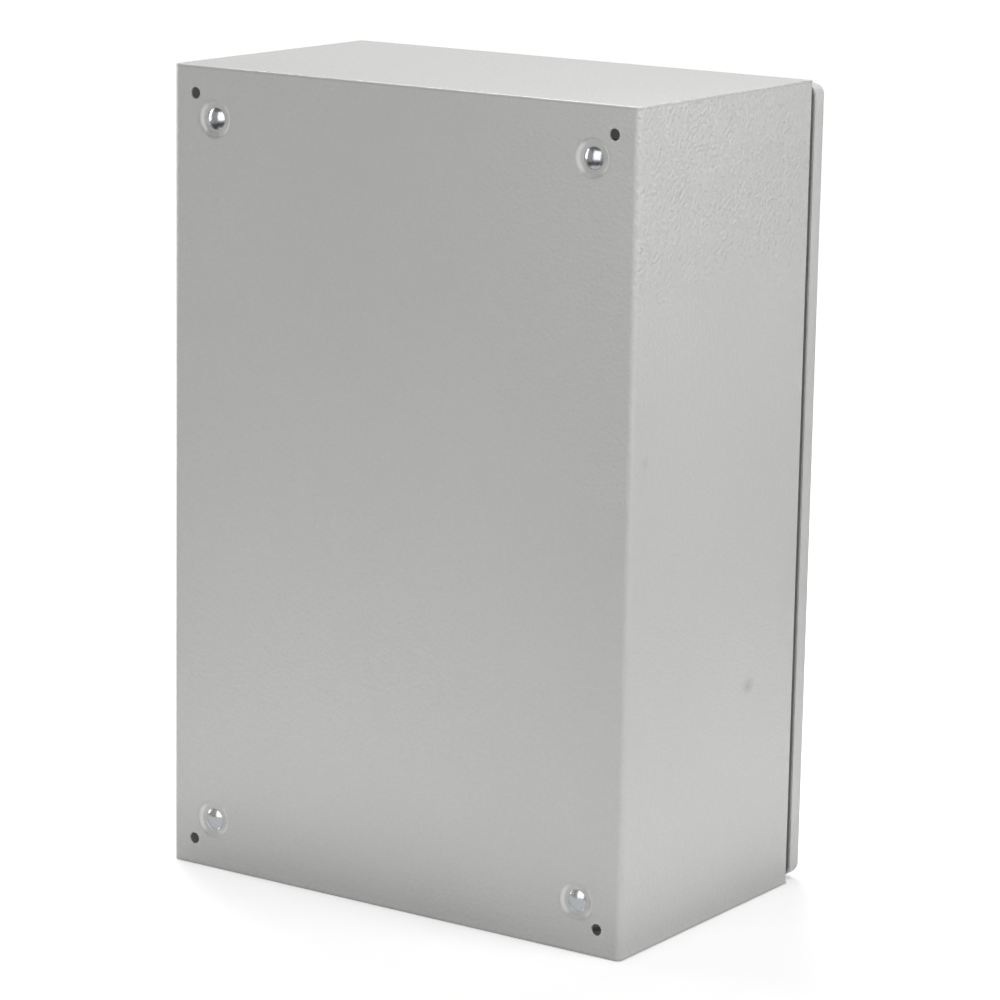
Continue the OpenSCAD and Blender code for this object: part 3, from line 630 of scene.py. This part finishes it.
def area_light(name, place, aim, size, energy):
    data = bpy.data.lights.new(name, "AREA")
    data.shape = "RECTANGLE"
    data.size, data.size_y = size
    data.energy = energy
    lamp = bpy.data.objects.new(name, data)
    lamp.location = place
    lamp.rotation_euler = (Vector(aim) - Vector(place)).to_track_quat("-Z", "Y").to_euler()
    lamp.visible_camera = False
    bpy.context.scene.collection.objects.link(lamp)
    return lamp


def stage_object(name, mesh, material, glossy_only=False):
    mesh.materials.append(material)
    obj = bpy.data.objects.new(name, mesh)
    bpy.context.scene.collection.objects.link(obj)
    if glossy_only:
        obj.visible_camera = obj.visible_diffuse = obj.visible_shadow = obj.visible_transmission = False
    return obj


def band(name, profile):
    """Surface of revolution from (radius, height) points."""
    mesh = bpy.data.meshes.new(name)
    bm = bmesh.new()
    rings(bm, Matrix.Identity(4), profile, 64)
    bm.to_mesh(mesh)
    bm.free()
    return mesh


def seen_by_eye(nodes, links):
    """1 for rays of the camera, and for those that metal or glass sends on."""
    path = nodes.new("ShaderNodeLightPath")
    value = path.outputs["Is Camera Ray"]
    for other in ("Is Glossy Ray", "Is Transmission Ray"):
        peak = nodes.new("ShaderNodeMath")
        peak.operation = "MAXIMUM"
        links.new(value, peak.inputs[0])
        links.new(path.outputs[other], peak.inputs[1])
        value = peak.outputs[0]
    return value


def floor():
    """Wide pale floor that keeps the object's soft shadow and stays white far away."""
    near, far, near_level = 0.6, 3.5, 0.35
    mesh = bpy.data.meshes.new("floor")
    bm = bmesh.new()
    bmesh.ops.create_grid(bm, x_segments=2, y_segments=2, size=40.0)
    bm.to_mesh(mesh)
    bm.free()
    t = Tree("pale_floor")
    colour = t.mix(t.ramp(t.noise(3.0), *CLOUD_BAND), srgb(236, 236, 236), srgb(238, 238, 238))
    lift = t.ramp(t.vector_math("LENGTH", t.pos), near, far, near_level, 1.0)
    t.set(base_color=colour, roughness=0.9, specular_ior_level=0.1, emission_color=WHITE,
          emission_strength=t.times(seen_by_eye(t.nodes, t.links), lift))
    stage_object("floor", mesh, t.mat).location.z = CAD_LO.z - FLOOR_DROP


def glow(name, level):
    """Even, faintly cool grey that needs no light."""
    mat = bpy.data.materials.new(name)
    mat.use_nodes = True
    nodes = mat.node_tree.nodes
    nodes.remove(nodes["Principled BSDF"])
    emission = nodes.new("ShaderNodeEmission")
    emission.inputs["Color"].default_value = (level, level, level * 1.02, 1)
    mat.node_tree.links.new(emission.outputs[0], nodes["Material Output"].inputs["Surface"])
    return mat


def room():
    """What gloss and bright zinc reflect: a grey room round a pale table top."""
    middle = Vector((-0.1, 0.0, CAD_LO.z - TABLE_DROP))
    table_r, gap_r, wall_r = 0.8, 1.5, 3.4
    bench, height = 1.8, 3.3
    for name, profile, level in (
        ("table_top", [(0.001, 0.0), (table_r, 0.0)], 0.6),
        ("room_gap", [(table_r, 0.0), (gap_r, 0.0)], 0.07),
        ("room_floor", [(gap_r, 0.0), (wall_r, 0.0)], 0.3),
        ("room_wall", [(wall_r, 0.0), (wall_r, bench)], 0.33),
        ("room_upper_wall", [(wall_r, bench), (wall_r, height)], 0.14),
        ("room_ceiling", [(wall_r, height), (0.001, height)], 0.1),
    ):
        stage_object(name, band(name, profile), glow(name, level), True).location = middle


def world():
    """White for the eye, and nearly dark as a light."""
    w = bpy.data.worlds.new("studio")
    bpy.context.scene.world = w
    w.use_nodes = True
    nodes, links = w.node_tree.nodes, w.node_tree.links
    background = nodes["Background"]
    background.inputs["Color"].default_value = WHITE
    spread = nodes.new("ShaderNodeMapRange")
    links.new(seen_by_eye(nodes, links), spread.inputs["Value"])
    spread.inputs["To Min"].default_value = WORLD_LEVEL
    spread.inputs["To Max"].default_value = 1.0
    links.new(spread.outputs["Result"], background.inputs["Strength"])


def camera():
    data = bpy.data.cameras.new("camera")
    data.sensor_width = SENSOR_MM
    data.lens = FOCAL_MM
    data.clip_end = 60.0
    cam = bpy.data.objects.new("camera", data)
    turn = Matrix((CAMERA_RIGHT, CAMERA_UP, CAMERA_BACK)).transposed().to_4x4()
    cam.matrix_world = Matrix.Translation(CAMERA_PLACE) @ turn
    bpy.context.scene.collection.objects.link(cam)
    bpy.context.scene.camera = cam


def studio():
    middle = (CAD_LO + CAD_HI) / 2
    for name, place, size, energy in LAMPS:
        lamp = area_light(name, middle + Vector(place), middle, size, energy)
        lamp.visible_glossy = name not in DIFFUSE_ONLY
    for name, place, size, energy in TABLE_GLOW:
        lamp = area_light(name, place, Vector(place) + Vector((0, 0, 1)), size, energy)
        lamp.visible_glossy = False
    world()
    floor()
    room()
    bpy.context.scene.view_settings.view_transform = "Standard"


# ------------------------------------------------------------------ build

camera()
fasteners(dress_frame())
studio()
